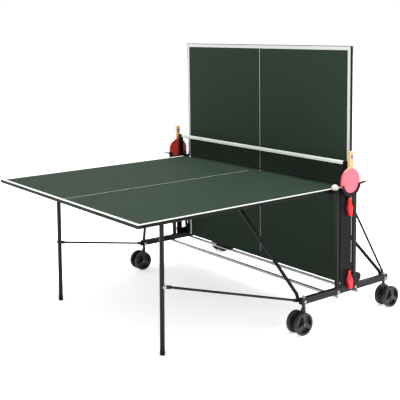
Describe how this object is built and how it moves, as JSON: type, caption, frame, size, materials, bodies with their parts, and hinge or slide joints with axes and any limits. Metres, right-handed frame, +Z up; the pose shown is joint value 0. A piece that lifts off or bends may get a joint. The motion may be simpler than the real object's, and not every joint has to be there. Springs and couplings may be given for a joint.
{
  "type": "folding table tennis table",
  "caption": "Wheeled folding table tennis table in the playback position: one leaf flat on its legs, the other folded upright behind the net, with bats and balls in side holders",
  "frame": {"origin": "floor level, middle of the outline seen from above", "axes": "+Z up, X along the playing length with the folded half toward +X, Y across the width"},
  "size_m": [1.7956, 1.666, 1.549],
  "materials": {
    "board_green": "satin painted board with fine texture",
    "apron_grey": "satin grey enamel",
    "frame_grey": "satin dark grey enamel",
    "black_plastic": "matt moulded",
    "grey_plastic": "moulded wheel",
    "zinc": "zinc plated",
    "light_plastic": "moulded cap",
    "net_green": "knotted mesh",
    "red_plastic": "moulded",
    "bat_wood": "clear lacquer",
    "rubber_pink": "fine dimples",
    "rubber_red": "fine dimples",
    "ball_white": "matt celluloid"
  },
  "bodies": {
    "chassis": {"beam_left": "frame_grey", "beam_right": "frame_grey", "end_caps": "black_plastic", "guide_posts": "frame_grey", "cross_tube_1": "zinc", "cross_tube_2": "zinc", "cross_tube_caps": "light_plastic", "side_plate_left": "frame_grey", "side_plate_right": "frame_grey", "head_bars": "frame_grey", "net_posts": "black_plastic", "net": "net_green", "bat_holder_left": "black_plastic", "bat_holder_right": "black_plastic", "lock_housings": "black_plastic", "chassis_bolts": "zinc", "rest_pads": "black_plastic"},
    "carriage_1": {"sliders_1": "black_plastic"},
    "leaf_1": {"board_1": "board_green", "apron_1": "apron_grey", "crossbars_1": "frame_grey", "pivot_brackets_1": "frame_grey", "stay_hinges_1": "zinc", "leg_hinges_1": "frame_grey", "leaf_rest_1": "zinc"},
    "legs_1": {"leg_frame_1": "frame_grey", "feet_1": "black_plastic"},
    "stay_pair_1": {"stays_1": "frame_grey"},
    "link_pair_1": {"leg_links_1": "frame_grey"},
    "carriage_2": {"sliders_2": "black_plastic"},
    "leaf_2": {"board_2": "board_green", "apron_2": "apron_grey", "crossbars_2": "frame_grey", "pivot_brackets_2": "frame_grey", "stay_hinges_2": "zinc", "leg_hinges_2": "frame_grey", "leaf_rest_2": "zinc"},
    "legs_2": {"leg_frame_2": "frame_grey", "feet_2": "black_plastic"},
    "stay_pair_2": {"stays_2": "frame_grey"},
    "link_pair_2": {"leg_links_2": "frame_grey"},
    "castor_1": {"castor_fork_1": "black_plastic"},
    "wheel_1": {"castor_wheels_1": "grey_plastic"},
    "castor_2": {"castor_fork_2": "black_plastic"},
    "wheel_2": {"castor_wheels_2": "grey_plastic"},
    "castor_3": {"castor_fork_3": "black_plastic"},
    "wheel_3": {"castor_wheels_3": "grey_plastic"},
    "castor_4": {"castor_fork_4": "black_plastic"},
    "wheel_4": {"castor_wheels_4": "grey_plastic"},
    "lock_upper_left": {"lever_upper_left": "red_plastic"},
    "lock_upper_right": {"lever_upper_right": "red_plastic"},
    "lock_lower_left": {"lever_lower_left": "red_plastic"},
    "lock_lower_right": {"lever_lower_right": "red_plastic"},
    "bat_left": {"bat_left_wood": "bat_wood", "bat_left_rubbers": "rubber_pink"},
    "loose_ball_left": {"ball_left": "ball_white"},
    "bat_right": {"bat_right_wood": "bat_wood", "bat_right_rubbers": "rubber_red"},
    "loose_ball_right": {"ball_right": "ball_white"}
  },
  "joints": [
    {"name": "carriage_1_slide", "type": "slide", "parent": "chassis", "child": "carriage_1", "axis": [0, 0, 1], "range_m": [-0.494, 0]},
    {"name": "leaf_1_fold", "type": "hinge", "parent": "carriage_1", "child": "leaf_1", "pos_m": [0.40325, 0, 0.742], "axis": [0, 1, 0], "range_deg": [0, 90]},
    {"name": "legs_1_fold", "type": "hinge", "parent": "leaf_1", "child": "legs_1", "pos_m": [-0.61975, 0, 0.722], "axis": [0, 1, 0], "range_deg": [-90, 0]},
    {"name": "stays_1_fold", "type": "hinge", "parent": "leaf_1", "child": "stay_pair_1", "pos_m": [-0.04915, 0, 0.73], "axis": [0, 1, 0], "range_deg": [-46, 0]},
    {"name": "links_1_fold", "type": "hinge", "parent": "legs_1", "child": "link_pair_1", "pos_m": [-0.62472, 0, 0.3632], "axis": [0, 1, 0], "range_deg": [0, 96]},
    {"name": "carriage_2_slide", "type": "slide", "parent": "chassis", "child": "carriage_2", "axis": [0, 0, 1], "range_m": [0, 0.494]},
    {"name": "leaf_2_fold", "type": "hinge", "parent": "carriage_2", "child": "leaf_2", "pos_m": [0.54725, 0, 0.248], "axis": [0, 1, 0], "range_deg": [0, 90]},
    {"name": "legs_2_fold", "type": "hinge", "parent": "leaf_2", "child": "legs_2", "pos_m": [0.56725, 0, 1.271], "axis": [0, 1, 0], "range_deg": [-90, 0]},
    {"name": "stays_2_fold", "type": "hinge", "parent": "leaf_2", "child": "stay_pair_2", "pos_m": [0.55925, 0, 0.7004], "axis": [0, 1, 0], "range_deg": [-46, 0]},
    {"name": "links_2_fold", "type": "hinge", "parent": "legs_2", "child": "link_pair_2", "pos_m": [0.57222, 0, 0.9122], "axis": [0, 1, 0], "range_deg": [0, 96]},
    {"name": "castor_1_swivel", "type": "hinge", "parent": "chassis", "child": "castor_1", "pos_m": [0.14525, -0.785, 0.15], "axis": [0, 0, 1], "continuous": true},
    {"name": "wheel_1_spin", "type": "hinge", "parent": "castor_1", "child": "wheel_1", "pos_m": [0.11525, -0.785, 0.0625], "axis": [0, 1, 0], "continuous": true},
    {"name": "castor_2_swivel", "type": "hinge", "parent": "chassis", "child": "castor_2", "pos_m": [0.80525, -0.785, 0.15], "axis": [0, 0, 1], "continuous": true},
    {"name": "wheel_2_spin", "type": "hinge", "parent": "castor_2", "child": "wheel_2", "pos_m": [0.83525, -0.785, 0.0625], "axis": [0, 1, 0], "continuous": true},
    {"name": "castor_3_swivel", "type": "hinge", "parent": "chassis", "child": "castor_3", "pos_m": [0.80525, 0.785, 0.15], "axis": [0, 0, 1], "continuous": true},
    {"name": "wheel_3_spin", "type": "hinge", "parent": "castor_3", "child": "wheel_3", "pos_m": [0.83525, 0.785, 0.0625], "axis": [0, 1, 0], "continuous": true},
    {"name": "castor_4_swivel", "type": "hinge", "parent": "chassis", "child": "castor_4", "pos_m": [0.14525, 0.785, 0.15], "axis": [0, 0, 1], "continuous": true},
    {"name": "wheel_4_spin", "type": "hinge", "parent": "castor_4", "child": "wheel_4", "pos_m": [0.11525, 0.785, 0.0625], "axis": [0, 1, 0], "continuous": true},
    {"name": "lock_upper_left_turn", "type": "hinge", "parent": "chassis", "child": "lock_upper_left", "pos_m": [0.47525, -0.8085, 0.705], "axis": [-1, 0, 0], "range_deg": [0, 35]},
    {"name": "lock_upper_right_turn", "type": "hinge", "parent": "chassis", "child": "lock_upper_right", "pos_m": [0.47525, 0.8085, 0.705], "axis": [1, 0, 0], "range_deg": [0, 35]},
    {"name": "lock_lower_left_turn", "type": "hinge", "parent": "chassis", "child": "lock_lower_left", "pos_m": [0.48025, -0.8085, 0.282], "axis": [-1, 0, 0], "range_deg": [0, 35]},
    {"name": "lock_lower_right_turn", "type": "hinge", "parent": "chassis", "child": "lock_lower_right", "pos_m": [0.47025, 0.8085, 0.282], "axis": [1, 0, 0], "range_deg": [0, 35]},
    {"name": "bat_left_lift", "type": "slide", "parent": "chassis", "child": "bat_left", "axis": [0, 0, 1], "range_m": [0, 0.25]},
    {"name": "ball_left_lift", "type": "slide", "parent": "chassis", "child": "loose_ball_left", "axis": [0, 0, 1], "range_m": [0, 0.1]},
    {"name": "bat_right_lift", "type": "slide", "parent": "chassis", "child": "bat_right", "axis": [0, 0, 1], "range_m": [0, 0.25]},
    {"name": "ball_right_lift", "type": "slide", "parent": "chassis", "child": "loose_ball_right", "axis": [0, 0, 1], "range_m": [0, 0.1]}
  ],
  "couplings": [
    {"joint": "carriage_1_slide", "follows": "leaf_1_fold", "m_per_rad": -0.31449},
    {"joint": "legs_1_fold", "follows": "leaf_1_fold", "ratio": -1},
    {"joint": "stays_1_fold", "follows": "leaf_1_fold", "ratio": -0.5013},
    {"joint": "links_1_fold", "follows": "leaf_1_fold", "ratio": 1.0581},
    {"joint": "carriage_2_slide", "follows": "leaf_2_fold", "m_per_rad": 0.31449},
    {"joint": "legs_2_fold", "follows": "leaf_2_fold", "ratio": -1},
    {"joint": "stays_2_fold", "follows": "leaf_2_fold", "ratio": -0.5013},
    {"joint": "links_2_fold", "follows": "leaf_2_fold", "ratio": 1.0581}
  ]
}
